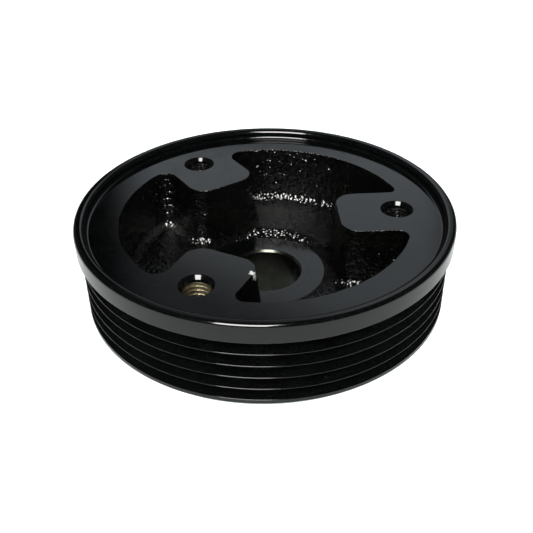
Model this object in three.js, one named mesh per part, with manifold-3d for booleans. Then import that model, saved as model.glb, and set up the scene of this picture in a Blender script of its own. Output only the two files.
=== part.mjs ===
// Five-rib poly-V belt pulley: one lobed iron casting, a pressed-in bore bush and three threaded
// inserts for M8 screws. Millimetres, +Z up; the origin is the centre of the hub's back face, which
// stands proud of the rim's foot and carries the pulley.
import * as THREE from 'three';
import { mergeVertices } from 'three/addons/utils/BufferGeometryUtils.js';
import Module from 'manifold-3d';

// Rim and flange
const RIM_RADIUS = 52;
const RIM_WIDTH = 27.3;            // foot face to rim top
const HUB_PROJECTION = 10;         // hub's back face to the foot face
const FOOT_Z = HUB_PROJECTION;
const RIM_TOP = FOOT_Z + RIM_WIDTH;
const FLANGE_BAND = 5.2;           // rim top down to the lower edge of the smooth band
const FLANGE_ROUNDING = 1;         // outer top edge
const FLANGE_CHAMFER = 0.8;        // radial width of the lead into the first groove

// Belt ribs, PK section
const RIB_COUNT = 5;
const RIB_PITCH = 3.56;
const RIB_DEPTH = 3;
const CREST_RADIUS = 50.8;
const FIRST_CREST_DEPTH = 9.76;    // below the rim top
const ROOT_HALF_WIDTH = 0.35;
const FLANK_SLOPE = Math.tan(THREE.MathUtils.degToRad(20));

// Foot
const FOOT_RADIUS = 48.7;
const FOOT_CHAMFER_HEIGHT = 2.3;
const RELIEF_DEPTH = 2.4;          // annular recess between hub and rim, under the web
const RELIEF_OUTER = 42;
const RELIEF_DRAFT = 0.8;
const WEB_BACK_Z = FOOT_Z + RELIEF_DEPTH;

// Lip and bolting face
const LIP_INNER = 49;
const LIP_ROUNDING = 1.2;
const FACE_RECESS = 2.5;
const FACE_FILLET = 0.7;
const FACE_Z = RIM_TOP - FACE_RECESS;

// Bowl and its three inward lobes
const BOWL_RADIUS = 40.2;          // at the bolting face
const BOWL_FLOOR_Z = FOOT_Z + 8;
const BOWL_DRAFT = 1.6;            // inward over the depth of the wall
const LOBE_CORNER = 5.5;
const LOBES = [
  { degrees: 3, tip: 20.4, sideBefore: 11, sideAfter: 9.6, rootBefore: 3, rootAfter: 1.8 },
  { degrees: 123, tip: 20.2, sideBefore: 10.4, sideAfter: 9.8, rootBefore: 4, rootAfter: 3.5 },
  { degrees: 243, tip: 21.6, sideBefore: 9.9, sideAfter: 10.4, rootBefore: 3.5, rootAfter: 2.5 },
];

// Hub
const SEAT_Z = FOOT_Z + 6.2;       // spot-faced seat for the centre screw's washer
const SEAT_RADIUS = 17;
const SEAT_SLOPE_RADIUS = 20.1;
const HUB_BACK_RADIUS = 17.5;
const HUB_BACK_CHAMFER = 1;
const HUB_FILLET = 2.5;            // between the hub's outside and the web's back
const BORE_RADIUS = 9.9;
const BORE_CHAMFER = 1;
const BUSH_RADIUS = 12.4;

// Threaded inserts, M8 x 1.25
const BOLT_CIRCLE_RADIUS = 37;
const INSERT_RADIUS = 4.6;
const INSERT_LENGTH = 14;
const INSERT_END_SINK = 0.1;       // how far the end sits below the bolting face
const THREAD_MINOR_RADIUS = 3.33;
const LEAD_IN_WIDTH = 1.1;         // countersunk mouth, down to the first thread
const LEAD_IN_DEPTH = 1.9;
const HOLE_EXTRA_DEPTH = 1.5;

const FIT_GAP = 0.3;               // clearance that stands for each press or thread fit
const CUT_OVERRUN = 3;             // how far a cutting shape runs past the face it opens

const CASTING_SEGMENTS = 72;
const BUSH_SEGMENTS = 40;
const INSERT_SEGMENTS = 24;
const OUTLINE_ARC_SEGMENTS = 4;

const wasm = await Module();
wasm.setup();

function toSolid(geometry) {
  const bare = geometry.clone();
  bare.deleteAttribute('normal');
  bare.deleteAttribute('uv');
  const merged = mergeVertices(bare, 1e-4);
  const mesh = new wasm.Mesh({
    numProp: 3,
    vertProperties: Float32Array.from(merged.attributes.position.array),
    triVerts: Uint32Array.from(merged.index.array),
  });
  return new wasm.Manifold(mesh);
}

function toGeometry(solid) {
  const mesh = solid.getMesh();
  const geometry = new THREE.BufferGeometry();
  geometry.setAttribute('position', new THREE.BufferAttribute(mesh.vertProperties, 3));
  geometry.setIndex(new THREE.BufferAttribute(mesh.triVerts, 1));
  geometry.computeVertexNormals();
  return geometry;
}

// Turns [radius, z] corners, listed anticlockwise in the (radius, z) half plane, about +Z.
function turned(corners, segments) {
  const profile = corners.map(([radius, z]) => new THREE.Vector2(radius, z));
  return new THREE.LatheGeometry(profile, segments).rotateX(Math.PI / 2);
}

function turnedRing(corners, segments) {
  return turned([...corners, corners[0]], segments);
}

// Corners along an arc in the (radius, z) half plane, from one angle to another in degrees.
function profileArc(centreRadius, centreZ, radius, fromDegrees, toDegrees, steps) {
  const corners = [];
  for (let step = 0; step <= steps; step += 1) {
    const angle = THREE.MathUtils.degToRad(fromDegrees + ((toDegrees - fromDegrees) * step) / steps);
    corners.push([centreRadius + radius * Math.cos(angle), centreZ + radius * Math.sin(angle)]);
  }
  return corners;
}

// Rim profile of the ribs, from the lowest crest up to the flange.
function ribCorners() {
  const rootRadius = CREST_RADIUS - RIB_DEPTH;
  const mouthHalfWidth = ROOT_HALF_WIDTH + RIB_DEPTH * FLANK_SLOPE;
  const corners = [];
  for (let rib = RIB_COUNT - 1; rib >= 0; rib -= 1) {
    const grooveZ = RIM_TOP - FIRST_CREST_DEPTH - rib * RIB_PITCH + RIB_PITCH / 2;
    corners.push([CREST_RADIUS, grooveZ - mouthHalfWidth]);
    corners.push([rootRadius, grooveZ - ROOT_HALF_WIDTH]);
    corners.push([rootRadius, grooveZ + ROOT_HALF_WIDTH]);
    const reach = rib === 0 ? RIM_RADIUS - FLANGE_CHAMFER : CREST_RADIUS;
    corners.push([reach, grooveZ + ROOT_HALF_WIDTH + (reach - rootRadius) * FLANK_SLOPE]);
  }
  return corners;
}

// The casting as turned, before the bowl and the holes are cut.
function castingBlank() {
  const hubBore = BUSH_RADIUS + FIT_GAP;
  return turnedRing([
    [hubBore, 0],
    [HUB_BACK_RADIUS - HUB_BACK_CHAMFER, 0],
    [HUB_BACK_RADIUS, HUB_BACK_CHAMFER],
    ...profileArc(HUB_BACK_RADIUS + HUB_FILLET, WEB_BACK_Z - HUB_FILLET, HUB_FILLET, 180, 90, 3),
    [RELIEF_OUTER - RELIEF_DRAFT, WEB_BACK_Z],
    [RELIEF_OUTER, FOOT_Z],
    [FOOT_RADIUS, FOOT_Z],
    [CREST_RADIUS, FOOT_Z + FOOT_CHAMFER_HEIGHT],
    ...ribCorners(),
    [RIM_RADIUS, RIM_TOP - FLANGE_BAND],
    ...profileArc(RIM_RADIUS - FLANGE_ROUNDING, RIM_TOP - FLANGE_ROUNDING, FLANGE_ROUNDING, 0, 90, 3),
    ...profileArc(LIP_INNER + LIP_ROUNDING, RIM_TOP - LIP_ROUNDING, LIP_ROUNDING, 90, 180, 3),
    [LIP_INNER, FACE_Z + FACE_FILLET],
    [LIP_INNER - FACE_FILLET, FACE_Z],
    [hubBore, FACE_Z],
  ], CASTING_SEGMENTS);
}

// Outline of the bowl, grown outward by an offset: arcs of the bowl wall joined by root fillets,
// straight lobe sides and rounded lobe corners.
function bowlOutline(offset) {
  const bowlRadius = BOWL_RADIUS + offset;
  const corner = LOBE_CORNER - offset;
  const shape = new THREE.Shape();

  for (const lobe of LOBES) {
    const turn = THREE.MathUtils.degToRad(lobe.degrees);
    const tip = lobe.tip + offset;
    const before = lobe.sideBefore - offset;
    const after = lobe.sideAfter - offset;

    // Draws one arc whose centre is given along and across the lobe's centre line.
    const arc = (along, across, radius, start, end, clockwise) => {
      const x = along * Math.cos(turn) - across * Math.sin(turn);
      const y = along * Math.sin(turn) + across * Math.cos(turn);
      shape.absarc(x, y, radius, turn + start, turn + end, clockwise);
    };
    const rootCentre = (side, fillet) => Math.sqrt((bowlRadius - fillet) ** 2 - (side + fillet) ** 2);

    const rootBefore = lobe.rootBefore + offset;
    const alongBefore = rootCentre(before, rootBefore);
    const bowlAngleBefore = Math.atan2(before + rootBefore, alongBefore);
    arc(alongBefore, -(before + rootBefore), rootBefore, -bowlAngleBefore, Math.PI / 2, false);
    arc(tip + corner, -(before - corner), corner, -Math.PI / 2, -Math.PI, true);
    arc(tip + corner, after - corner, corner, -Math.PI, -Math.PI * 1.5, true);

    const rootAfter = lobe.rootAfter + offset;
    const alongAfter = rootCentre(after, rootAfter);
    const bowlAngleAfter = Math.atan2(after + rootAfter, alongAfter);
    arc(alongAfter, after + rootAfter, rootAfter, -Math.PI / 2, bowlAngleAfter, false);

    const next = LOBES[(LOBES.indexOf(lobe) + 1) % LOBES.length];
    const nextSide = next.sideBefore - offset;
    const nextRoot = next.rootBefore + offset;
    const nextAngle = Math.atan2(nextSide + nextRoot, rootCentre(nextSide, nextRoot));
    const lobeStep = (2 * Math.PI) / LOBES.length;
    arc(0, 0, bowlRadius, bowlAngleAfter, lobeStep - nextAngle, false);
  }
  return shape;
}

// The hollow of the bowl: its outline at the floor, growing by the draft up to the bolting face.
function bowlHollow() {
  const wallHeight = FACE_Z - BOWL_FLOOR_Z;
  const geometry = new THREE.ExtrudeGeometry(bowlOutline(-BOWL_DRAFT), {
    depth: CUT_OVERRUN,
    curveSegments: OUTLINE_ARC_SEGMENTS,
    bevelThickness: wallHeight,
    bevelSize: BOWL_DRAFT,
    bevelSegments: 1,
  });
  return geometry.translate(0, 0, FACE_Z);
}

function seatHollow() {
  const slope = (SEAT_SLOPE_RADIUS - SEAT_RADIUS) / (BOWL_FLOOR_Z - SEAT_Z);
  const topZ = BOWL_FLOOR_Z + CUT_OVERRUN;
  const topRadius = SEAT_RADIUS + (topZ - SEAT_Z) * slope;
  return turned([[0, SEAT_Z], [SEAT_RADIUS, SEAT_Z], [topRadius, topZ], [0, topZ]], CASTING_SEGMENTS);
}

// Blind hole for one insert, with a drill point at its bottom.
function insertHole() {
  const radius = INSERT_RADIUS + FIT_GAP;
  const depth = INSERT_LENGTH + HOLE_EXTRA_DEPTH;
  const corners = [[0, -depth - radius / 2], [radius, -depth], [radius, CUT_OVERRUN], [0, CUT_OVERRUN]];
  return turned(corners, INSERT_SEGMENTS);
}

function castingGeometry() {
  let casting = toSolid(castingBlank()).subtract(toSolid(bowlHollow())).subtract(toSolid(seatHollow()));
  for (const lobe of LOBES) {
    const hole = insertHole();
    hole.translate(BOLT_CIRCLE_RADIUS, 0, FACE_Z);
    hole.rotateZ(THREE.MathUtils.degToRad(lobe.degrees));
    casting = casting.subtract(toSolid(hole));
  }
  return toGeometry(casting);
}

// Plain sleeve with both ends of its bore chamfered.
function bushGeometry() {
  const bottomZ = FIT_GAP;
  const topZ = SEAT_Z;
  return turnedRing([
    [BORE_RADIUS + BORE_CHAMFER, bottomZ],
    [BUSH_RADIUS, bottomZ],
    [BUSH_RADIUS, topZ],
    [BORE_RADIUS + BORE_CHAMFER, topZ],
    [BORE_RADIUS, topZ - BORE_CHAMFER],
    [BORE_RADIUS, bottomZ + BORE_CHAMFER],
  ], BUSH_SEGMENTS);
}

// Threaded insert with its thread as a plain bore at the minor diameter. Its end is at z = 0.
function insertGeometry() {
  const leadInRadius = THREAD_MINOR_RADIUS + LEAD_IN_WIDTH;
  return turnedRing([
    [THREAD_MINOR_RADIUS, -INSERT_LENGTH],
    [INSERT_RADIUS, -INSERT_LENGTH],
    [INSERT_RADIUS, 0],
    [leadInRadius, 0],
    [THREAD_MINOR_RADIUS, -LEAD_IN_DEPTH],
  ], INSERT_SEGMENTS);
}

const blackCoat = new THREE.MeshStandardMaterial({ color: 0x15181a, roughness: 0.35, metalness: 0.1 });
const bareSteel = new THREE.MeshStandardMaterial({ color: 0x8c887c, roughness: 0.4, metalness: 1 });
const goldenSteel = new THREE.MeshStandardMaterial({ color: 0xc9ab6b, roughness: 0.35, metalness: 1 });

function piece(name, geometry, material) {
  const mesh = new THREE.Mesh(geometry, material);
  mesh.name = name;
  return mesh;
}

const pulley = new THREE.Group();
pulley.add(piece('pulley_casting', castingGeometry(), blackCoat));
pulley.add(piece('bore_bush', bushGeometry(), bareSteel));

LOBES.forEach((lobe, index) => {
  const station = new THREE.Group();
  station.rotation.z = THREE.MathUtils.degToRad(lobe.degrees);
  const insert = piece(`threaded_insert_${index + 1}`, insertGeometry(), goldenSteel);
  insert.position.set(BOLT_CIRCLE_RADIUS, 0, FACE_Z - INSERT_END_SINK);
  station.add(insert);
  pulley.add(station);
});

export default pulley;
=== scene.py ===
import math

import bmesh
import bpy
import numpy as np
from mathutils import Matrix, Vector, noise
from mathutils.geometry import delaunay_2d_cdt


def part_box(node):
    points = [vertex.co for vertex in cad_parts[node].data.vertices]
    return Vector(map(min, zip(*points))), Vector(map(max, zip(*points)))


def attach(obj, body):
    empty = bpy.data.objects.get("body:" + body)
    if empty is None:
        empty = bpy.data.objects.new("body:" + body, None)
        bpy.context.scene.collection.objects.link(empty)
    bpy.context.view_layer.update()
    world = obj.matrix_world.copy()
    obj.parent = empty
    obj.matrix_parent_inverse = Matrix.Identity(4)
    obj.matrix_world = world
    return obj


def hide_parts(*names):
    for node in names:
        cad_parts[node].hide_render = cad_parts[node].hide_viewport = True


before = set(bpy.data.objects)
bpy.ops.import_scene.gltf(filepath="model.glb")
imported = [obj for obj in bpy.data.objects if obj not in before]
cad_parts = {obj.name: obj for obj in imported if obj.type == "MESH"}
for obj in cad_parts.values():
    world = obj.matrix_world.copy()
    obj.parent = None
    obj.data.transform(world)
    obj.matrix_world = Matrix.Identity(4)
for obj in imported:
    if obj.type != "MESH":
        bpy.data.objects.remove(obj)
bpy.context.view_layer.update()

MM = 0.001


def box_mm(node):
    """Lowest and highest corner of a CAD node, in millimetres."""
    low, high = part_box(node)
    return np.array(low) / MM, np.array(high) / MM


_, casting_high = box_mm("pulley_casting")
bush_low, bush_high = box_mm("bore_bush")
INSERT_NODES = ["threaded_insert_1", "threaded_insert_2", "threaded_insert_3"]

# Rim and flange
RIM_RADIUS = casting_high[0]
RIM_TOP = casting_high[2]
RIM_WIDTH = 27.3
FOOT_Z = RIM_TOP - RIM_WIDTH
FLANGE_BAND = 5.2
FLANGE_ROUNDING = 1.0
FLANGE_CHAMFER = 0.8

# Belt ribs, PK section
RIB_COUNT = 5
RIB_PITCH = 3.56
RIB_DEPTH = 3.0
CREST_RADIUS = RIM_RADIUS - 1.2
FIRST_CREST_DEPTH = 9.76
ROOT_HALF_WIDTH = 0.58
FLANK_SLOPE = math.tan(math.radians(20))
CREST_ROUNDING = 0.15
ROOT_ROUNDING = 0.3

# Foot, the relief under the web and the hub behind it
FOOT_RADIUS = 48.7
FOOT_CHAMFER_HEIGHT = 2.3
RELIEF_DEPTH = 2.4
RELIEF_OUTER = 42.0
RELIEF_DRAFT = 0.8
WEB_BACK_Z = FOOT_Z + RELIEF_DEPTH
HUB_BACK_RADIUS = 17.5
HUB_BACK_CHAMFER = 1.0
HUB_FILLET = 2.5

# Lip and bolting face
LIP_INNER = 49.0
LIP_ROUNDING = 1.2
FACE_RECESS = 2.5
FACE_FILLET = 0.8
FACE_Z = RIM_TOP - FACE_RECESS

# Bowl and its three inward lobes
BOWL_RADIUS = 40.2
BOWL_FLOOR_Z = FOOT_Z + 8.0
BOWL_DRAFT = 1.6
BOWL_EDGE_ROUNDING = 0.15
BOWL_BASE_FILLET = 3.0
SMALLEST_ROOT = 0.3
ROOT_WIDENING = 0.25
LOBE_CORNER = 5.5
LOBES = [
    {"degrees": 3, "tip": 20.4, "before": 11.0, "after": 9.6, "root_before": 3.0, "root_after": 1.8},
    {"degrees": 123, "tip": 20.2, "before": 10.4, "after": 9.8, "root_before": 4.0, "root_after": 3.5},
    {"degrees": 243, "tip": 21.6, "before": 9.9, "after": 10.4, "root_before": 3.5, "root_after": 2.5},
]

# Hub, bush and inserts
SEAT_Z = bush_high[2]
SEAT_RADIUS = 17.0
SEAT_SLOPE_RADIUS = 20.1
SEAT_CLEARANCE = 0.25
SEAT_GRAIN_FADE = 0.6
CONE_EASE = 0.06
BUSH_RADIUS = bush_high[0]
BORE_RADIUS = 9.9
BORE_CHAMFER = 0.6
JOINT_LINE = 0.012             # the hairline that shows round a pressed or screwed-in piece
THREAD_PITCH = 1.25
THREAD_MINOR_RADIUS = 3.33
THREAD_MAJOR_RADIUS = 4.0
THREAD_CREST_SHARE = 0.2
THREAD_FLANK_SHARE = 0.62
MOUTH_RADIUS = 4.5
MOUTH_DEPTH = 0.85              # 45 degree countersink
NECK_END_RADIUS = 3.5
FIRST_TURN_DEPTH = 1.6
ROOT_SHARE = 0.4               # the part of the flank beyond this is painted dark brown, as painted shade in the thread's root
HOLE_EXTRA_DEPTH = 0.5

# Sand-cast grain: size and height of each of its waves, and how far its pattern is shifted
GRAIN_WAVES = [(2.6, 0.09, (0, 0, 0)), (1.0, 0.07, (0, 0, 0)), (0.5, 0.04, (31, 7, 3))]
WEB_GRAIN_INSET = 0.5
WEB_GRAIN_FADE = 1.5

# Mesh fineness
TURN_SEGMENTS = 480
INSERT_SEGMENTS = 96
OUTLINE_STEP = 0.3
WALL_STEP = 0.33
FLOOR_STEP = 0.4
WEB_ROW_STEP = 0.5
THREAD_ROW_STEP = 0.07
ARC_STEP = 0.16
ARC_TURN = math.radians(11)
EDGE_STEPS = 4
FILLET_ROWS = 14
FILLET_TABLE_STEPS = 12
SHARP_ANGLE = math.radians(28)
FLAT_NORMAL = 0.99999
MERGE_DISTANCE = 1e-6

# The chip in the coat at the edge of the third lobe, painted pale grey as a highlight on it, and how fast
# it gives way to the coat per mm
CHIP_PLACE = (-2.1, -28.1, 34.4)
CHIP_FALL = 0.19
# pale grey of the chip: a painted highlight
CHIP_HIGHLIGHT_COLOUR = (0.55, 0.55, 0.53)

MACHINED = 0
CAST = 1


# ---------------------------------------------------------------- mesh building

class Skin:
    """Rings of points and the faces between them, each face with the number of its material."""

    def __init__(self):
        self.points = []
        self.faces = []
        self.finishes = []

    def ring(self, points):
        first = len(self.points)
        self.points.extend(tuple(point) for point in points)
        return list(range(first, len(self.points)))

    def face(self, corners, finish):
        self.faces.append(corners)
        self.finishes.append(finish)

    def bridge(self, one, other, finish):
        count = len(one)
        for i in range(count):
            j = (i + 1) % count
            self.face((one[i], one[j], other[j], other[i]), finish)

    def turned(self, profile, segments, finish_of, centre=(0.0, 0.0), relief_of=None):
        """Turns an open profile of (radius, z) points about +Z and returns its first and last rings.

        relief_of(radius, z) gives the share of the cast grain, which goes into the height.
        """
        angles = np.arange(segments) * 2 * math.pi / segments
        rings = []
        for radius, z in profile:
            x = centre[0] + radius * np.cos(angles)
            y = centre[1] + radius * np.sin(angles)
            heights = np.full(segments, z)
            share = relief_of(radius, z) if relief_of else 0.0
            if share > 0:
                heights -= share * np.array([cast_relief(a, b, z) for a, b in zip(x, y)])
            rings.append(self.ring(zip(x, y, heights)))
        for k in range(len(rings) - 1):
            (r0, z0), (r1, z1) = profile[k], profile[k + 1]
            self.bridge(rings[k], rings[k + 1], finish_of((r0 + r1) / 2, (z0 + z1) / 2))
        return rings[0], rings[-1]

    def cap_flat(self, loops, z_of, spare_points, finish):
        """Fills the region between an outer loop and inner loops, given as rings of point numbers."""
        numbers = [number for loop in loops for number in loop]
        plane = [Vector(self.points[number][:2]) for number in numbers]
        edges = []
        start = 0
        for loop in loops:
            edges += [(start + i, start + (i + 1) % len(loop)) for i in range(len(loop))]
            start += len(loop)
        plane += [Vector(point) for point in spare_points]
        flat, _, faces, sources, _, _ = delaunay_2d_cdt(plane, edges, [], 1, 1e-7)
        merged = []
        for point, origin in zip(flat, sources):
            known = [source for source in origin if source < len(numbers)]
            if known:
                merged.append(numbers[known[0]])
            else:
                self.points.append((point.x, point.y, z_of(point.x, point.y)))
                merged.append(len(self.points) - 1)
        middles = np.array([np.mean([flat[corner] for corner in corners], 0) for corners in faces])
        wanted = np.zeros(len(faces), bool)
        for loop in loops:
            wanted ^= inside_polygon(middles, np.array([self.points[number][:2] for number in loop]))
        for corners, keep in zip(faces, wanted):
            if keep:
                self.face([merged[corner] for corner in corners], finish)


def make_piece(name, skin, materials, node):
    """Turns a skin into an object that stands for a CAD node."""
    mesh = bpy.data.meshes.new(name)
    mesh.from_pydata([tuple(value * MM for value in point) for point in skin.points], [], skin.faces)
    for material in materials:
        mesh.materials.append(material)
    mesh.polygons.foreach_set("material_index", skin.finishes)

    work = bmesh.new()
    work.from_mesh(mesh)
    bmesh.ops.remove_doubles(work, verts=work.verts, dist=MERGE_DISTANCE)
    bmesh.ops.dissolve_degenerate(work, edges=work.edges, dist=1e-8)
    bmesh.ops.recalc_face_normals(work, faces=work.faces)
    for face in work.faces:
        face.smooth = True
    for edge in work.edges:
        if len(edge.link_faces) != 2:
            continue
        flat = [abs(face.normal.z) > FLAT_NORMAL for face in edge.link_faces]
        edge.smooth = edge.calc_face_angle(0.0) < SHARP_ANGLE and flat[0] == flat[1]
    work.to_mesh(mesh)
    work.free()

    piece = bpy.data.objects.new(name, mesh)
    bpy.context.collection.objects.link(piece)
    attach(piece, "root")
    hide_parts(node)
    return piece


def rounded(corners):
    """Profile through (radius, z, rounding) corners, with an arc at each rounded one."""
    profile = [corners[0][:2]]
    for before, corner, after in zip(corners, corners[1:], corners[2:]):
        at = np.array(corner[:2], float)
        back = np.array(before[:2]) - at
        ahead = np.array(after[:2]) - at
        back /= np.linalg.norm(back)
        ahead /= np.linalg.norm(ahead)
        rounding = corner[2]
        if rounding == 0:
            profile.append(tuple(at))
            continue
        half = math.acos(np.clip(back @ ahead, -1, 1)) / 2
        reach = rounding / math.tan(half)
        centre = at + (back + ahead) / np.linalg.norm(back + ahead) * rounding / math.sin(half)
        start = at + back * reach - centre
        sweep = math.pi - 2 * half
        turn = math.copysign(1, start[1] * back[0] - start[0] * back[1])
        steps = max(4, math.ceil(sweep * rounding / ARC_STEP), math.ceil(sweep / ARC_TURN))
        for step in range(steps + 1):
            angle = turn * sweep * step / steps
            cos, sin = math.cos(angle), math.sin(angle)
            profile.append((centre[0] + start[0] * cos - start[1] * sin,
                            centre[1] + start[0] * sin + start[1] * cos))
    profile.append(corners[-1][:2])
    return with_supports(profile)


def with_supports(profile, inset=0.05, shortest=0.3):
    """Adds a point close to each end of every long straight stretch, so that it shades flat."""
    out = [profile[0]]
    for (r0, z0), (r1, z1) in zip(profile, profile[1:]):
        length = math.hypot(r1 - r0, z1 - z0)
        if length > shortest:
            for share in (inset / length, 1 - inset / length):
                out.append((r0 + (r1 - r0) * share, z0 + (z1 - z0) * share))
        out.append((r1, z1))
    return out


# ---------------------------------------------------------------- casting

def rib_corners():
    """Corners of the belt ribs, from the lowest crest up to the flange."""
    root = CREST_RADIUS - RIB_DEPTH
    mouth_half_width = ROOT_HALF_WIDTH + RIB_DEPTH * FLANK_SLOPE
    corners = []
    for rib in reversed(range(RIB_COUNT)):
        groove_z = RIM_TOP - FIRST_CREST_DEPTH - rib * RIB_PITCH + RIB_PITCH / 2
        corners.append((CREST_RADIUS, groove_z - mouth_half_width, CREST_ROUNDING))
        corners.append((root, groove_z - ROOT_HALF_WIDTH, ROOT_ROUNDING))
        corners.append((root, groove_z + ROOT_HALF_WIDTH, ROOT_ROUNDING))
        reach = RIM_RADIUS - FLANGE_CHAMFER if rib == 0 else CREST_RADIUS
        top = groove_z + ROOT_HALF_WIDTH + (reach - root) * FLANK_SLOPE
        corners.append((reach, top, CREST_ROUNDING))
    return corners


def casting_profile():
    """From the edge of the seat down through the hub, round the back and rim, to the bolting face."""
    hub_bore = BUSH_RADIUS + JOINT_LINE
    return rounded([
        (SEAT_RADIUS, SEAT_Z, 0),
        (hub_bore, SEAT_Z, 0.02),
        (hub_bore, 0, 0.2),
        (HUB_BACK_RADIUS - HUB_BACK_CHAMFER, 0, 0.2),
        (HUB_BACK_RADIUS, HUB_BACK_CHAMFER, 0.2),
        (HUB_BACK_RADIUS, WEB_BACK_Z, HUB_FILLET),
        (RELIEF_OUTER - RELIEF_DRAFT, WEB_BACK_Z, 0.9),
        (RELIEF_OUTER, FOOT_Z, 0.6),
        (FOOT_RADIUS, FOOT_Z, 0.3),
        (CREST_RADIUS, FOOT_Z + FOOT_CHAMFER_HEIGHT, 0.35),
        *rib_corners(),
        (RIM_RADIUS, RIM_TOP - FLANGE_BAND, 0.25),
        (RIM_RADIUS, RIM_TOP, FLANGE_ROUNDING),
        (LIP_INNER, RIM_TOP, LIP_ROUNDING),
        (LIP_INNER, FACE_Z, FACE_FILLET),
        (LIP_INNER - FACE_FILLET - 0.3, FACE_Z, 0),
    ])


def arc_points(centre, radius, start, end, count):
    angles = start + (end - start) * np.arange(count) / count
    return np.stack([centre[0] + radius * np.cos(angles), centre[1] + radius * np.sin(angles)], -1)


def line_points(start, end, count):
    share = (np.arange(count) / count)[:, None]
    return np.array(start) * (1 - share) + np.array(end) * share


def root_radius(radius, offset):
    """Fillet between a lobe and the wall. It widens down the wall and tightens round the base fillet."""
    if offset >= 0:
        return radius + offset
    down_wall = min(-offset, BOWL_DRAFT)
    past_wall = -offset - down_wall
    return max(radius + ROOT_WIDENING * down_wall - past_wall, SMALLEST_ROOT)


def lobe_frame(lobe, offset):
    """The numbers that place one lobe's fillets when the bowl's outline is grown by an offset."""
    numbers = {"tip": lobe["tip"] + offset, "corner": LOBE_CORNER - offset}
    for side in ("before", "after"):
        width = lobe[side] - offset
        root = root_radius(lobe["root_" + side], offset)
        along = math.sqrt((BOWL_RADIUS + offset - root) ** 2 - (width + root) ** 2)
        numbers[side] = (width, root, along, math.atan2(width + root, along))
    return numbers


def step_count(length):
    return max(4, round(length / OUTLINE_STEP))


def bowl_outline(offset):
    """Closed outline of the bowl, anticlockwise. Its point count is the same at every offset."""
    stretches = []
    for index, lobe in enumerate(LOBES):
        here = lobe_frame(lobe, offset)
        plain = lobe_frame(lobe, 0)
        width0, root0, along0, angle0 = here["before"]
        width1, root1, along1, angle1 = here["after"]
        tip, corner = here["tip"], here["corner"]
        side_steps = step_count(plain["after"][2] - plain["tip"] - plain["corner"])
        tip_steps = step_count(plain["before"][0] + plain["after"][0] - 2 * plain["corner"])
        corner_steps = step_count(plain["corner"] * math.pi / 2)
        quarter = math.pi / 2

        def root_steps(side):
            return step_count(plain[side][1] * (quarter + plain[side][3]))

        local = [
            arc_points((along0, -width0 - root0), root0, -angle0, quarter, root_steps("before")),
            line_points((along0, -width0), (tip + corner, -width0), side_steps),
            arc_points((tip + corner, corner - width0), corner, -quarter, -2 * quarter, corner_steps),
            line_points((tip, corner - width0), (tip, width1 - corner), tip_steps),
            arc_points((tip + corner, width1 - corner), corner, -2 * quarter, -3 * quarter, corner_steps),
            line_points((tip + corner, width1), (along1, width1), side_steps),
            arc_points((along1, width1 + root1), root1, -quarter, angle1, root_steps("after")),
        ]
        following = lobe_frame(LOBES[(index + 1) % len(LOBES)], offset)["before"][3]
        plain_next = lobe_frame(LOBES[(index + 1) % len(LOBES)], 0)["before"][3]
        lobe_step = 2 * math.pi / len(LOBES)
        wall_steps = step_count(BOWL_RADIUS * (lobe_step - plain["after"][3] - plain_next))
        bowl_radius = BOWL_RADIUS + offset
        local.append(arc_points((0, 0), bowl_radius, angle1, lobe_step - following, wall_steps))

        turn = math.radians(lobe["degrees"])
        matrix = np.array([[math.cos(turn), -math.sin(turn)], [math.sin(turn), math.cos(turn)]])
        stretches.append(np.concatenate(local) @ matrix.T)
    return np.concatenate(stretches)


def cast_relief(x, y, z):
    """Height of the sand-cast grain above the smooth wall, in millimetres."""
    place = Vector((x, y, z))
    return sum(noise.noise(place / size + Vector(shift)) * height for size, height, shift in GRAIN_WAVES)


def floor_base(radius):
    """Height of the bowl's floor, which dips in a cone towards the machined seat."""
    share = np.clip((radius - SEAT_RADIUS) / (SEAT_SLOPE_RADIUS - SEAT_RADIUS), 0, 1)
    blended = share - CONE_EASE * np.sin(2 * math.pi * share)
    return SEAT_Z + (BOWL_FLOOR_Z - SEAT_Z) * blended


def grained(points, normals, lift_share):
    """Moves points along their outline normals, and up by a share, by the height of the cast grain."""
    out = []
    for (x, y, z), (nx, ny) in zip(points, normals):
        height = cast_relief(x, y, z)
        side = height * (1 - lift_share)
        out.append((x - nx * side, y - ny * side, z + height * lift_share))
    return out


def outline_normals(outline):
    """Unit normals that point out of the bowl, into the iron."""
    along = np.roll(outline, -1, 0) - np.roll(outline, 1, 0)
    along /= np.linalg.norm(along, axis=1)[:, None]
    return np.stack([along[:, 1], -along[:, 0]], -1)


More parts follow.
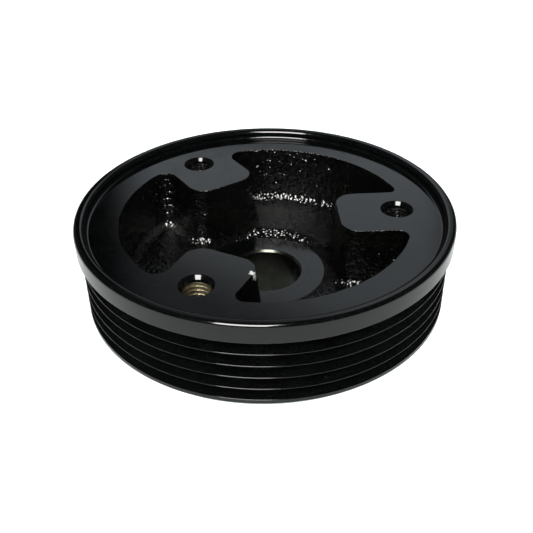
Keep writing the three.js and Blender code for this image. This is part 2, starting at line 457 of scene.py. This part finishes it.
def bowl_wall_rings(skin):
    """Rings from the bolting face down the wall to the end of the base fillet."""
    rings = []
    flat_normals = outline_normals(bowl_outline(0))

    def add(outline, heights, lift_share, z_shift_allowed=True):
        points = [(x, y, z) for (x, y), z in zip(outline, heights)]
        moved = grained(points, flat_normals, lift_share)
        if not z_shift_allowed:
            moved = [(x, y, z) for (x, y, _), (_, _, z) in zip(moved, points)]
        rings.append(skin.ring(moved))

    for step in range(EDGE_STEPS + 1):
        angle = math.pi / 2 * step / EDGE_STEPS
        offset = BOWL_EDGE_ROUNDING * (1 - math.sin(angle))
        z = FACE_Z - BOWL_EDGE_ROUNDING * (1 - math.cos(angle))
        outline = bowl_outline(offset)
        add(outline, np.full(len(outline), z), 0, z_shift_allowed=False)

    wall_top = FACE_Z - BOWL_EDGE_ROUNDING
    wall_bottom = BOWL_FLOOR_Z + BOWL_BASE_FILLET
    wall_rows = math.ceil((wall_top - wall_bottom) / WALL_STEP)
    for row in range(1, wall_rows + 1):
        share = row / wall_rows
        outline = bowl_outline(-BOWL_DRAFT * share)
        z = wall_top + (wall_bottom - wall_top) * share
        add(outline, np.full(len(outline), z), 0)

    foot = bowl_outline(-BOWL_DRAFT)
    room = np.hypot(foot[:, 0], foot[:, 1]) - SEAT_RADIUS - SEAT_CLEARANCE
    fillet = np.minimum(BOWL_BASE_FILLET, room)
    last = FILLET_TABLE_STEPS
    table = np.array([bowl_outline(-BOWL_DRAFT - BOWL_BASE_FILLET * k / last) for k in range(last + 1)])
    order = np.arange(len(foot))
    for row in range(1, FILLET_ROWS + 1):
        angle = math.pi / 2 * row / FILLET_ROWS
        inward = fillet * (1 - math.cos(angle))
        place = inward / BOWL_BASE_FILLET * last
        low = np.minimum(place.astype(int), last - 1)
        mix = (place - low)[:, None]
        outline = table[low, order] * (1 - mix) + table[low + 1, order] * mix
        radius = np.hypot(outline[:, 0], outline[:, 1])
        drop = (wall_bottom - BOWL_FLOOR_Z) * (1 - math.sin(angle))
        add(outline, floor_base(radius) + drop, math.sin(angle) ** 2)
    return rings


def inside_polygon(points, polygon):
    """Which of the points lie inside a closed polygon, by the even-odd rule."""
    x, y = points[:, 0], points[:, 1]
    inside = np.zeros(len(points), bool)
    for (x0, y0), (x1, y1) in zip(polygon, np.roll(polygon, -1, 0)):
        if y0 == y1:
            continue
        crosses = ((y0 > y) != (y1 > y)) & (x < (x1 - x0) * (y - y0) / (y1 - y0) + x0)
        inside ^= crosses
    return inside


def floor_points(edge):
    """A staggered grid of points on the floor, inside its edge and outside the seat."""
    reach = BOWL_RADIUS
    rows = []
    row_step = FLOOR_STEP * math.sqrt(3) / 2
    for row, y in enumerate(np.arange(-reach, reach, row_step)):
        x = np.arange(-reach, reach, FLOOR_STEP) + (row % 2) * FLOOR_STEP / 2
        rows.append(np.stack([x, np.full(len(x), y)], -1))
    points = np.concatenate(rows)
    radius = np.hypot(points[:, 0], points[:, 1])
    points = points[(radius > SEAT_RADIUS + FLOOR_STEP / 2) & (radius < BOWL_RADIUS - BOWL_DRAFT)]
    return points[inside_polygon(points, edge)]


def web_back_share(radius, z):
    """How much of the cast grain the casting's turned outside carries: all of it on the web's back."""
    if z < FOOT_Z or z > WEB_BACK_Z + 0.01:
        return 0.0
    inner = (radius - HUB_BACK_RADIUS - WEB_GRAIN_INSET) / WEB_GRAIN_FADE
    outer = (RELIEF_OUTER - RELIEF_DRAFT - radius) / WEB_GRAIN_FADE
    return float(np.clip(min(inner, outer), 0, 1))


def with_rows(profile, share_of, step):
    """Splits the stretches that carry cast grain into rows a step apart."""
    out = [profile[0]]
    for (r0, z0), (r1, z1) in zip(profile, profile[1:]):
        length = math.hypot(r1 - r0, z1 - z0)
        pieces = 1
        if length > step and share_of((r0 + r1) / 2, (z0 + z1) / 2) > 0:
            pieces = math.ceil(length / step)
        for piece in range(1, pieces + 1):
            share = piece / pieces
            out.append((r0 + (r1 - r0) * share, z0 + (z1 - z0) * share))
    return out


def insert_places():
    """Centre, end height, radius and length of each insert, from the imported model."""
    places = []
    for node in INSERT_NODES:
        low, high = box_mm(node)
        middle = (low + high) / 2
        places.append(((middle[0], middle[1]), high[2], (high[0] - low[0]) / 2, high[2] - low[2]))
    return places


def casting_skin():
    skin = Skin()

    def finish_of(radius, z):
        return CAST if web_back_share(radius, z) > 0 else MACHINED

    profile = with_rows(casting_profile(), web_back_share, WEB_ROW_STEP)
    seat_edge, face_edge = skin.turned(profile, TURN_SEGMENTS, finish_of, relief_of=web_back_share)

    rings = bowl_wall_rings(skin)
    for one, other in zip(rings, rings[1:]):
        skin.bridge(one, other, CAST)

    hole_edges = []
    for centre, _, radius, length in insert_places():
        wall = radius + JOINT_LINE
        depth = length + HOLE_EXTRA_DEPTH
        profile = with_supports([(wall, FACE_Z), (wall, FACE_Z - depth), (0.01, FACE_Z - depth - wall / 2)])
        mouth, tip = skin.turned(profile, INSERT_SEGMENTS, lambda r, z: MACHINED, centre)
        skin.face(tip, MACHINED)
        hole_edges.append(mouth)

    skin.cap_flat([face_edge, rings[0], *hole_edges], lambda x, y: FACE_Z, [], MACHINED)

    floor_edge = np.array([skin.points[number][:2] for number in rings[-1]])

    def floor_height(x, y):
        radius = math.hypot(x, y)
        fade = min(1.0, (radius - SEAT_RADIUS) / SEAT_GRAIN_FADE)
        return float(floor_base(radius)) + cast_relief(x, y, BOWL_FLOOR_Z) * fade

    skin.cap_flat([rings[-1], seat_edge], floor_height, floor_points(floor_edge), CAST)
    return skin


# ---------------------------------------------------------------- bush and inserts

BARE = 1
# finish of the thread root, which is painted dark as shade
THREAD_ROOT = 2


def bush_skin():
    """The sleeve: its two ends carry the coat, its chamfers and bore are bare metal."""
    skin = Skin()
    bottom, top = bush_low[2], bush_high[2]
    corners = [
        (BORE_RADIUS + BORE_CHAMFER, bottom, 0.05),
        (BUSH_RADIUS, bottom, 0.15),
        (BUSH_RADIUS, top, 0.02),
        (BORE_RADIUS + BORE_CHAMFER, top, 0.12),
        (BORE_RADIUS, top - BORE_CHAMFER, 0.2),
        (BORE_RADIUS, bottom + BORE_CHAMFER, 0.2),
    ]
    start = (BORE_RADIUS + 2 * BORE_CHAMFER, bottom, 0)
    profile = rounded([start, *corners[1:], corners[0], start])

    def finish_of(radius, z):
        return BARE if radius < BORE_RADIUS + BORE_CHAMFER - 0.03 else MACHINED

    skin.turned(profile, TURN_SEGMENTS, finish_of)
    return skin


def thread_lift(depth, angle):
    """How far the right-hand thread's surface is from its crest, 0, towards its root, 1."""
    phase = (depth / THREAD_PITCH + angle / (2 * math.pi)) % 1
    distance = np.abs(phase - 0.5) * 2
    lift = np.clip((distance - THREAD_CREST_SHARE) / THREAD_FLANK_SHARE, 0, 1)
    return lift * lift * (3 - 2 * lift)


def inner_radius(depth, angles):
    """Radius inside an insert: a countersink, a short neck, then the thread."""
    neck_start = MOUTH_RADIUS - MOUTH_DEPTH
    neck = np.interp(depth, [0, MOUTH_DEPTH, FIRST_TURN_DEPTH], [MOUTH_RADIUS, neck_start, NECK_END_RADIUS])
    turned_in = np.clip((depth - FIRST_TURN_DEPTH) / (THREAD_PITCH / 4), 0, 1)
    thread = THREAD_MINOR_RADIUS + (THREAD_MAJOR_RADIUS - THREAD_MINOR_RADIUS) * thread_lift(depth, angles)
    return neck * (1 - turned_in) + thread * turned_in


def insert_skin(centre, end_z, radius, length):
    """A threaded sleeve with a countersunk mouth. Its end and mouth are coated, its thread is not."""
    skin = Skin()
    angles = np.arange(INSERT_SEGMENTS) * 2 * math.pi / INSERT_SEGMENTS
    outside = rounded([
        (THREAD_MAJOR_RADIUS, -length, 0),
        (radius, -length, 0.2),
        (radius, 0, 0.06),
        (MOUTH_RADIUS, 0, 0.1),
        (MOUTH_RADIUS - 0.5, -0.5, 0),
    ])
    rows = [(np.full(INSERT_SEGMENTS, ring_radius), ring_z, MACHINED) for ring_radius, ring_z in outside]
    depth = 0.5
    while depth < length - THREAD_ROW_STEP:
        depth += THREAD_ROW_STEP
        finish = MACHINED if depth < FIRST_TURN_DEPTH else BARE
        rows.append((inner_radius(depth, angles), -depth, finish))
    rows.append((np.full(INSERT_SEGMENTS, THREAD_MAJOR_RADIUS), -length, BARE))

    rings = []
    for radii, z, _ in rows:
        x = centre[0] + radii * np.cos(angles)
        y = centre[1] + radii * np.sin(angles)
        rings.append(skin.ring(zip(x, y, np.full(INSERT_SEGMENTS, end_z + z))))
    for k in range(len(rings) - 1):
        skin.bridge(rings[k], rings[k + 1], rows[k + 1][2])
    between = angles + math.pi / INSERT_SEGMENTS
    for k, (_, z, finish) in enumerate(rows[1:]):
        if finish != BARE:
            continue
        # the deep part of each turn takes the dark root colour: painted shade in the thread's root
        deep = thread_lift(-z, between) > ROOT_SHARE
        for i in np.flatnonzero(deep):
            skin.finishes[k * INSERT_SEGMENTS + i] = THREAD_ROOT
    return skin


# ---------------------------------------------------------------- materials

class Nodes:
    """Short calls for building a node material in object coordinates, in metres."""

    def __init__(self, name):
        self.material = bpy.data.materials.new(name)
        self.material.use_nodes = True
        self.tree = self.material.node_tree
        self.shader = self.tree.nodes["Principled BSDF"]
        self.place = self.add("ShaderNodeTexCoord").outputs["Object"]

    def add(self, kind, **settings):
        node = self.tree.nodes.new(kind)
        for key, value in settings.items():
            setattr(node, key, value)
        return node

    def link(self, source, target):
        self.tree.links.new(source, target)

    def noise(self, size_mm, detail=2.0, roughness=0.5, distortion=0.0, seed=0.0):
        node = self.add("ShaderNodeTexNoise", noise_dimensions="4D")
        node.inputs["Scale"].default_value = 1 / (size_mm * MM)
        node.inputs["Detail"].default_value = detail
        node.inputs["Roughness"].default_value = roughness
        node.inputs["Distortion"].default_value = distortion
        node.inputs["W"].default_value = seed
        self.link(self.place, node.inputs["Vector"])
        return node.outputs["Fac"]

    def ramp(self, value, low, high, to_low=0.0, to_high=1.0):
        node = self.add("ShaderNodeMapRange", interpolation_type="SMOOTHSTEP")
        for key, number in zip(("From Min", "From Max", "To Min", "To Max"), (low, high, to_low, to_high)):
            node.inputs[key].default_value = number
        self.link(value, node.inputs["Value"])
        return node.outputs["Result"]

    def math(self, operation, one, other):
        node = self.add("ShaderNodeMath", operation=operation)
        for socket, value in zip(node.inputs, (one, other)):
            if isinstance(value, (int, float)):
                socket.default_value = value
            else:
                self.link(value, socket)
        return node.outputs["Value"]

    def mix(self, share, one, other):
        """Colour between two colours; each is an (r, g, b) or a socket."""
        node = self.add("ShaderNodeMix", data_type="RGBA")
        self.link(share, node.inputs["Factor"])
        for socket, value in ((node.inputs["A"], one), (node.inputs["B"], other)):
            if isinstance(value, tuple):
                socket.default_value = (*value, 1)
            else:
                self.link(value, socket)
        return node.outputs["Result"]

    def bump(self, height, distance_mm, strength=1.0, under=None):
        node = self.add("ShaderNodeBump")
        node.inputs["Distance"].default_value = distance_mm * MM
        node.inputs["Strength"].default_value = strength
        self.link(height, node.inputs["Height"])
        if under is not None:
            self.link(under, node.inputs["Normal"])
        return node.outputs["Normal"]

    def pebbles(self, cell_mm, seed):
        """Height of close-set rounded grains: 1 on top of each, falling with the distance squared."""
        cells = self.add("ShaderNodeTexVoronoi", voronoi_dimensions="4D")
        cells.inputs["Scale"].default_value = 1 / (cell_mm * MM)
        cells.inputs["W"].default_value = seed
        self.link(self.place, cells.inputs["Vector"])
        distance = cells.outputs["Distance"]
        return self.math("SUBTRACT", 1.0, self.math("MULTIPLY", distance, distance))

    def specks(self, cell_mm, size, share, seed):
        """Sparse round specks: a socket that is 1 on each speck."""
        cells = self.add("ShaderNodeTexVoronoi", voronoi_dimensions="4D")
        cells.inputs["Scale"].default_value = 1 / (cell_mm * MM)
        cells.inputs["W"].default_value = seed
        self.link(self.place, cells.inputs["Vector"])
        near = self.ramp(cells.outputs["Distance"], size, size * 0.6)
        split = self.add("ShaderNodeSeparateColor")
        self.link(cells.outputs["Color"], split.inputs["Color"])
        chosen = self.math("LESS_THAN", split.outputs["Red"], share)
        return self.math("MULTIPLY", near, chosen)

    def chipped_with_highlight(self, colour):
        """A colour with the coat knocked off in one small ragged star at the third lobe's edge, painted
        pale grey as a highlight.
        """
        reach = self.add("ShaderNodeVectorMath", operation="DISTANCE")
        self.link(self.place, reach.inputs[0])
        reach.inputs[1].default_value = [value * MM for value in CHIP_PLACE]
        fall = self.math("MULTIPLY", reach.outputs["Value"], CHIP_FALL / MM)
        ragged = self.math("SUBTRACT", self.noise(0.9, detail=2, seed=51), fall)
        return self.mix(self.ramp(ragged, 0.24, 0.30), colour, CHIP_HIGHLIGHT_COLOUR)

    def set(self, **values):
        for key, value in values.items():
            socket = self.shader.inputs[key.replace("_", " ")]
            if isinstance(value, (int, float)):
                socket.default_value = value
            else:
                self.link(value, socket)


def machined_coat():
    """Thin glossy black coat over turned iron, with a fine grain, a faint orange peel and dust."""
    n = Nodes("machined_coat")
    n.shader.inputs["IOR"].default_value = 1.42
    cloud = n.noise(9, detail=4, seed=1)
    tone = n.mix(n.ramp(cloud, 0.35, 0.7), (0.0004, 0.0005, 0.0006), (0.0010, 0.0012, 0.0013))
    grain = n.ramp(n.noise(0.4, detail=1, seed=2), 0.52, 0.72)
    tone = n.mix(grain, tone, (0.006, 0.006, 0.0055))
    tone = n.mix(n.specks(1.0, 0.17, 0.3, seed=4), tone, (0.020, 0.020, 0.019))
    dust = n.specks(4.5, 0.05, 0.35, seed=3)
    n.set(Base_Color=n.chipped_with_highlight(n.mix(dust, tone, (0.32, 0.32, 0.30))))
    smear = n.noise(3.5, detail=3, seed=5)
    n.set(Roughness=n.math("ADD", n.ramp(smear, 0.3, 0.75, 0.07, 0.13), n.math("MULTIPLY", dust, 0.4)))
    peel = n.bump(n.noise(0.7, detail=1, seed=7), 0.006, 0.5)
    n.set(Normal=n.bump(dust, 0.03, 0.6, under=peel))
    return n.material


def cast_coat():
    """The same black over sand-cast skin, with rounded grains that glint, and pale dots and flecks painted
    in as glints.
    """
    n = Nodes("cast_coat")
    n.shader.inputs["IOR"].default_value = 1.5
    cloud = n.noise(4, detail=4, seed=11)
    tone = n.mix(n.ramp(cloud, 0.35, 0.7), (0.0004, 0.0004, 0.0004), (0.0012, 0.0012, 0.0010))
    # pale dots and flecks in the colour: painted glints on the cast grains
    glint_dots = n.specks(1.1, 0.16, 0.2, seed=12)
    tone = n.mix(glint_dots, tone, (0.07, 0.07, 0.063))
    glint_flecks = n.specks(2.6, 0.07, 0.2, seed=13)
    n.set(Base_Color=n.chipped_with_highlight(n.mix(glint_flecks, tone, (0.28, 0.28, 0.26))))
    n.set(Roughness=n.ramp(n.noise(1.1, detail=1, seed=15), 0.3, 0.7, 0.08, 0.15))
    lumps = n.bump(n.noise(1.6, detail=0, seed=17), 0.32)
    n.set(Normal=n.bump(n.pebbles(0.8, seed=19), 0.22, under=lumps))
    return n.material


def shaded_bare_bore():
    """Machined steel, a little brown from oil and painted very dark as shade inside the deep bore, with
    fine turning lines round the bore.
    """
    n = Nodes("shaded_bare_bore")
    n.shader.inputs["Metallic"].default_value = 1.0
    cloud = n.noise(3, detail=4, seed=21)
    # very dark steel colour: oil brown plus painted shade inside the bore
    n.set(Base_Color=n.mix(n.ramp(cloud, 0.3, 0.75), (0.042, 0.045, 0.037), (0.062, 0.066, 0.055)))
    n.set(Roughness=n.ramp(n.noise(1.5, detail=2, seed=23), 0.3, 0.7, 0.20, 0.27))
    lines = n.add("ShaderNodeTexWave", wave_type="BANDS", bands_direction="Z")
    lines.inputs["Scale"].default_value = 1 / (1.6 * MM)
    lines.inputs["Distortion"].default_value = 0.6
    n.link(n.place, lines.inputs["Vector"])
    n.set(Normal=n.bump(lines.outputs["Fac"], 0.01, 0.5))
    return n.material


def golden_thread():
    """Golden passivated thread, a little uneven in tone."""
    n = Nodes("golden_thread")
    n.shader.inputs["Metallic"].default_value = 1.0
    cloud = n.noise(1.2, detail=3, seed=31)
    n.set(Base_Color=n.mix(n.ramp(cloud, 0.35, 0.7), (0.22, 0.19, 0.11), (0.27, 0.24, 0.155)))
    n.set(Roughness=n.ramp(n.noise(0.8, detail=1, seed=33), 0.3, 0.7, 0.38, 0.46))
    n.set(Normal=n.bump(n.noise(0.3, detail=1, seed=35), 0.008, 0.6))
    return n.material


def shaded_thread_root():
    """The root of the golden thread, painted dark brown as painted shade in the thread's root."""
    n = Nodes("shaded_thread_root")
    cloud = n.ramp(n.noise(0.7, detail=2, seed=43), 0.35, 0.7)
    n.set(Base_Color=n.mix(cloud, (0.020, 0.012, 0.005), (0.050, 0.034, 0.016)))
    n.set(Roughness=n.ramp(n.noise(0.5, detail=1, seed=44), 0.3, 0.7, 0.45, 0.6))
    n.set(Normal=n.bump(n.noise(0.3, detail=1, seed=45), 0.02, 0.6))
    return n.material


def painted_thread():
    """A thread that caught the black coat, worn thin and a little brown in patches."""
    n = Nodes("painted_thread")
    worn = n.ramp(n.noise(0.9, detail=3, seed=37), 0.5, 0.75)
    n.set(Base_Color=n.mix(worn, (0.002, 0.002, 0.002), (0.022, 0.021, 0.019)))
    n.set(Roughness=n.ramp(n.noise(0.8, detail=2, seed=38), 0.3, 0.7, 0.16, 0.3))
    n.set(Normal=n.bump(n.noise(0.3, detail=1, seed=39), 0.006, 0.6))
    return n.material


def floor_white():
    """Pale studio floor, a little uneven in tone, that glows a little towards the camera."""
    n = Nodes("studio_floor")
    n.set(Base_Color=n.mix(n.noise(120, detail=2, seed=41), (0.83, 0.83, 0.83), (0.85, 0.85, 0.85)))
    n.shader.inputs["Roughness"].default_value = 0.9
    n.shader.inputs["Specular IOR Level"].default_value = 0.1
    rays = n.add("ShaderNodeLightPath")
    n.shader.inputs["Emission Color"].default_value = (1, 1, 1, 1)
    n.set(Emission_Strength=n.math("MULTIPLY", rays.outputs["Is Camera Ray"], FLOOR_LIFT))
    return n.material


# ---------------------------------------------------------------- studio

AIM = Vector((0.3, 0.0, FOOT_Z + 7.2)) * MM
CAMERA_DISTANCE = 225.4 * MM
CAMERA_ELEVATION = math.radians(34.67)
CAMERA_ROLL = math.radians(-0.82)
CAMERA_LENS = 52.43
SENSOR_WIDTH = 36.0
SOFTBOX_WATTS = 34
OVERHEAD_WATTS = 36
FRONT_WATTS = 120
BACKDROP_GLOW = 0.85
ROOM_LIGHT = 0.05
FLOOR_HALF_WIDTH = 1.3
FLOOR_GAP = 0.02 * MM          # keeps the floor off the hub's back face
FLOOR_LIFT = 0.45              # the floor is lit up this much for the camera, as a lit sweep is


def add_camera():
    forward = Vector((0, math.cos(CAMERA_ELEVATION), -math.sin(CAMERA_ELEVATION)))
    right = Vector((1, 0, 0))
    up = right.cross(forward)
    turned_right = right * math.cos(CAMERA_ROLL) + up * math.sin(CAMERA_ROLL)
    turned_up = up * math.cos(CAMERA_ROLL) - right * math.sin(CAMERA_ROLL)
    data = bpy.data.cameras.new("camera")
    data.lens = CAMERA_LENS
    data.sensor_width = SENSOR_WIDTH
    data.clip_start = 0.01
    camera = bpy.data.objects.new("camera", data)
    rotation = Matrix((turned_right, turned_up, -forward)).transposed().to_4x4()
    camera.matrix_world = Matrix.Translation(AIM - forward * CAMERA_DISTANCE) @ rotation
    bpy.context.collection.objects.link(camera)
    bpy.context.scene.camera = camera


def facing(place, target):
    """Matrix of an object at a place whose -Z looks at a target."""
    direction = (Vector(target) - Vector(place)).to_track_quat("-Z", "Y")
    return Matrix.Translation(Vector(place)) @ direction.to_matrix().to_4x4()


def add_soft_light(name, place, size, watts, colour, unseen_by):
    """Rectangular area light that looks at the pulley. One kind of ray passes it by."""
    data = bpy.data.lights.new(name, "AREA")
    data.shape = "RECTANGLE"
    data.size, data.size_y = size
    data.energy = watts
    data.color = colour
    light = bpy.data.objects.new(name, data)
    light.matrix_world = facing(place, (0, 0, RIM_TOP * MM))
    setattr(light, "visible_" + unseen_by, False)
    bpy.context.collection.objects.link(light)


def towards(azimuth, elevation, distance):
    """Place at a distance from the pulley; azimuth 0 is behind it, and positive to the right."""
    azimuth, elevation = math.radians(azimuth), math.radians(elevation)
    level = distance * math.cos(elevation)
    return (level * math.sin(azimuth), level * math.cos(azimuth), distance * math.sin(elevation))


def add_backdrop():
    """A softly lit pale card far behind the pulley, which shows only as its reflection."""
    half_width, half_height = 0.55, 0.45
    corners = [(-half_width, -half_height), (half_width, -half_height)]
    corners += [(half_width, half_height), (-half_width, half_height)]
    mesh = bpy.data.meshes.new("backdrop_card")
    mesh.from_pydata([(x, y, 0) for x, y in corners], [], [(0, 1, 2, 3)])

    n = Nodes("backdrop_glow")
    split = n.add("ShaderNodeSeparateXYZ")
    n.link(n.place, split.inputs["Vector"])
    across = n.math("MULTIPLY", split.outputs["X"], -1.0)
    height = split.outputs["Y"]
    left = n.ramp(across, -0.36, -0.22)
    right = n.ramp(across, 0.47, 0.33)
    bottom = n.ramp(height, -0.23, -0.15)
    top_line = n.math("ADD", n.math("MULTIPLY", across, 0.52), 0.14)
    top = n.ramp(n.math("SUBTRACT", top_line, height), -0.10, 0.08, 0.28, 1.0)
    share = n.math("MULTIPLY", n.math("MULTIPLY", left, right), n.math("MULTIPLY", bottom, top))
    n.set(Emission_Strength=n.math("MULTIPLY", share, BACKDROP_GLOW))
    n.shader.inputs["Emission Color"].default_value = (0.88, 0.96, 1.02, 1)
    n.shader.inputs["Base Color"].default_value = (0, 0, 0, 1)
    n.shader.inputs["Specular IOR Level"].default_value = 0.0
    mesh.materials.append(n.material)

    card = bpy.data.objects.new("backdrop_card", mesh)
    card.matrix_world = facing(towards(0, 33, 1.5), (0, 0, RIM_TOP * MM))
    for ray in ("camera", "diffuse", "shadow", "transmission", "volume_scatter"):
        setattr(card, "visible_" + ray, False)
    bpy.context.collection.objects.link(card)


def add_floor():
    mesh = bpy.data.meshes.new("studio_floor")
    half = FLOOR_HALF_WIDTH
    corners = [(-half, -half), (half, -half), (half, half), (-half, half)]
    mesh.from_pydata([(x, y, -FLOOR_GAP) for x, y in corners], [], [(0, 1, 2, 3)])
    mesh.materials.append(floor_white())
    floor = bpy.data.objects.new("studio_floor", mesh)
    bpy.context.collection.objects.link(floor)


def set_world():
    """White to the camera, dim as light, as a white sweep in a dark room is."""
    world = bpy.data.worlds.new("studio")
    world.use_nodes = True
    tree = world.node_tree
    dim = tree.nodes["Background"]
    dim.inputs["Strength"].default_value = ROOM_LIGHT
    white = tree.nodes.new("ShaderNodeBackground")
    for background in (dim, white):
        background.inputs["Color"].default_value = (1, 1, 1, 1)
    rays = tree.nodes.new("ShaderNodeLightPath")
    choice = tree.nodes.new("ShaderNodeMixShader")
    tree.links.new(rays.outputs["Is Camera Ray"], choice.inputs[0])
    tree.links.new(dim.outputs[0], choice.inputs[1])
    tree.links.new(white.outputs[0], choice.inputs[2])
    tree.links.new(choice.outputs[0], tree.nodes["World Output"].inputs["Surface"])
    bpy.context.scene.world = world
    bpy.context.scene.view_settings.view_transform = "Standard"


# ---------------------------------------------------------------- scene

add_camera()
set_world()
add_soft_light("softbox", towards(194, 50, 1.2), (0.53, 0.70), SOFTBOX_WATTS, (1.0, 0.985, 0.96),
               "diffuse")
add_soft_light("overhead_fill", (0, 0, 2.2), (3.0, 3.0), OVERHEAD_WATTS, (1, 1, 1), "glossy")
add_soft_light("front_fill", towards(180, 37, 2.5), (2.6, 1.2), FRONT_WATTS, (0.94, 1.0, 1.0), "glossy")
add_backdrop()
add_floor()

coat = machined_coat()
golden = golden_thread()
painted = painted_thread()
# the third insert's thread root is painted dark brown as shade
threads = [(painted, painted), (painted, painted), (golden, shaded_thread_root())]
make_piece("casting", casting_skin(), [coat, cast_coat()], "pulley_casting")
make_piece("bush", bush_skin(), [coat, shaded_bare_bore()], "bore_bush")
for number, (node, place, thread) in enumerate(zip(INSERT_NODES, insert_places(), threads), 1):
    make_piece(f"insert_{number}", insert_skin(*place), [coat, *thread], node)
